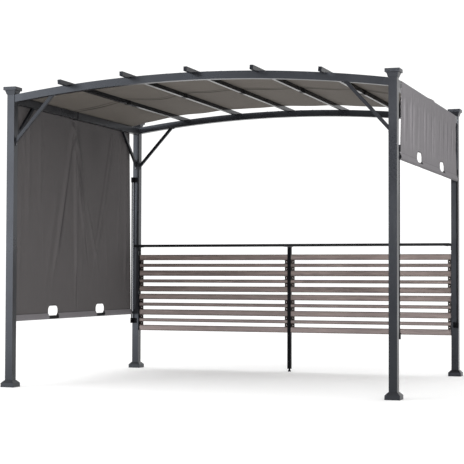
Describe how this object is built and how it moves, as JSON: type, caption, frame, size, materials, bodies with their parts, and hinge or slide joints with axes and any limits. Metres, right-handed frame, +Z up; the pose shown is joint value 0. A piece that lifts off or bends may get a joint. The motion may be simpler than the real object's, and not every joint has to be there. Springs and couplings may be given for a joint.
{
  "type": "hot tub pergola",
  "caption": "Arched metal pergola for a hot tub, with a sliding cloth roof whose drapes hang at both sides, a narrow bar shelf and slatted screens across the back.",
  "frame": {"origin": "centre of the footprint, on the ground", "axes": "+X to the right along the arches, +Y from the open front to the slatted back, +Z up"},
  "size_m": [3.069, 2.75, 2.348],
  "materials": {
    "frame_paint": "satin",
    "dark_paint": "satin",
    "moulded_trim": "satin",
    "roof_cloth": "matte",
    "slat_board": "matte",
    "stile_board": "matte",
    "shelf_board": "satin",
    "fixings": "satin"
  },
  "bodies": {
    "frame": {"front_left_post": "frame_paint", "front_right_post": "frame_paint", "back_left_post": "frame_paint", "back_right_post": "frame_paint", "front_left_cap": "moulded_trim", "front_right_cap": "moulded_trim", "back_left_cap": "moulded_trim", "back_right_cap": "moulded_trim", "front_left_base_cover": "moulded_trim", "front_right_base_cover": "moulded_trim", "back_left_base_cover": "moulded_trim", "back_right_base_cover": "moulded_trim", "front_arch_left": "frame_paint", "front_arch_right": "frame_paint", "back_arch_left": "frame_paint", "back_arch_right": "frame_paint", "arch_sleeves": "fixings", "arch_bolts": "fixings", "left_beam_front": "frame_paint", "left_beam_back": "frame_paint", "right_beam_front": "frame_paint", "right_beam_back": "frame_paint", "beam_sleeves": "fixings", "front_knee_braces": "frame_paint", "back_knee_braces": "frame_paint", "left_knee_braces": "frame_paint", "right_knee_braces": "frame_paint", "knee_bolts": "fixings", "rafter_1": "frame_paint", "rafter_2": "frame_paint", "rafter_3": "frame_paint", "rafter_4": "frame_paint", "rafter_5": "frame_paint", "joint_clips": "dark_paint", "rafter_screws": "fixings", "roof_canopy": "roof_cloth", "left_drape": "roof_cloth", "right_drape": "roof_cloth", "front_left_rod": "dark_paint", "front_right_rod": "dark_paint", "back_left_rod": "dark_paint", "back_right_rod": "dark_paint", "upper_rod_brackets": "dark_paint", "lower_rod_brackets": "dark_paint", "left_shelf_board": "shelf_board", "right_shelf_board": "shelf_board", "shelf_brackets": "dark_paint", "centre_post": "dark_paint", "centre_foot": "dark_paint", "upper_left_slats": "slat_board", "upper_right_slats": "slat_board", "lower_left_slats": "slat_board", "lower_right_slats": "slat_board", "slat_stiles": "stile_board", "mounting_strips": "dark_paint", "slat_screws": "fixings"},
    "left_hem": {"left_hem_band": "roof_cloth", "left_hem_tube": "dark_paint"},
    "right_hem": {"right_hem_band": "roof_cloth", "right_hem_tube": "dark_paint"}
  },
  "joints": [
    {"name": "left_hem_slide", "type": "slide", "parent": "frame", "child": "left_hem", "axis": [0, 0, 1], "range_m": [0, 1.164], "deforming": ["left_drape"]},
    {"name": "right_hem_slide", "type": "slide", "parent": "frame", "child": "right_hem", "axis": [0, 0, 1], "range_m": [-1.164, 0], "deforming": ["right_drape"]}
  ],
  "couplings": [
    {"joint": "right_hem_slide", "follows": "left_hem_slide", "ratio": -1}
  ]
}
